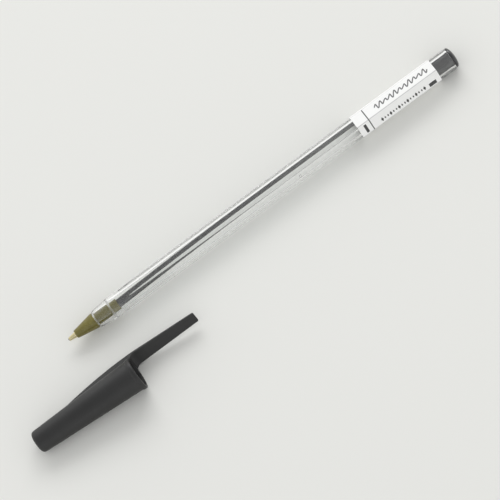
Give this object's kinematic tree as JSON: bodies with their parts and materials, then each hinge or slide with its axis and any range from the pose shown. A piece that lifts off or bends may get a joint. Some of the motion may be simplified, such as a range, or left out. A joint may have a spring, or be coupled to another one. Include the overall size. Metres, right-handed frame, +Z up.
{
  "type": "stick ballpoint pen",
  "caption": "Stick ballpoint pen with a clear hexagonal barrel, fixed refill, rolling ball and end plug, and its push-on clip cap lying beside it.",
  "frame": {"origin": "on the barrel facet that the pen lies on, under the middle of the pen's length", "axes": "+X along the pen from the ball to the end plug, +Y away from the cap, +Z up"},
  "size_m": [0.1702, 0.0327, 0.0105],
  "materials": {
    "clear_styrene": "clear, polished",
    "black_plug": "semi-gloss",
    "white_sticker": "satin film",
    "olive_gold_plastic": "semi-gloss, slightly pearly",
    "brass": "turned",
    "hard_metal": "polished",
    "milky_tube": "translucent",
    "black_ink": "wet paste",
    "black_cap": "fine satin"
  },
  "bodies": {
    "pen": {"barrel": "clear_styrene", "end_plug": "black_plug", "label": "white_sticker", "tip_holder": "olive_gold_plastic", "point": "brass", "ink_tube": "milky_tube", "ink_column": "black_ink"},
    "ball": {"writing_ball": "hard_metal"},
    "cap": {"cap": "black_cap"}
  },
  "joints": [
    {"name": "ball_roll", "type": "hinge", "parent": "pen", "child": "ball", "pos_m": [-0.072, 0, 0.0035], "axis": [0, 1, 0], "continuous": true},
    {"name": "cap_slide", "type": "slide", "parent": "pen", "child": "cap", "axis": [1, 0, 0], "range_m": [-0.0128, 0.0225]}
  ]
}
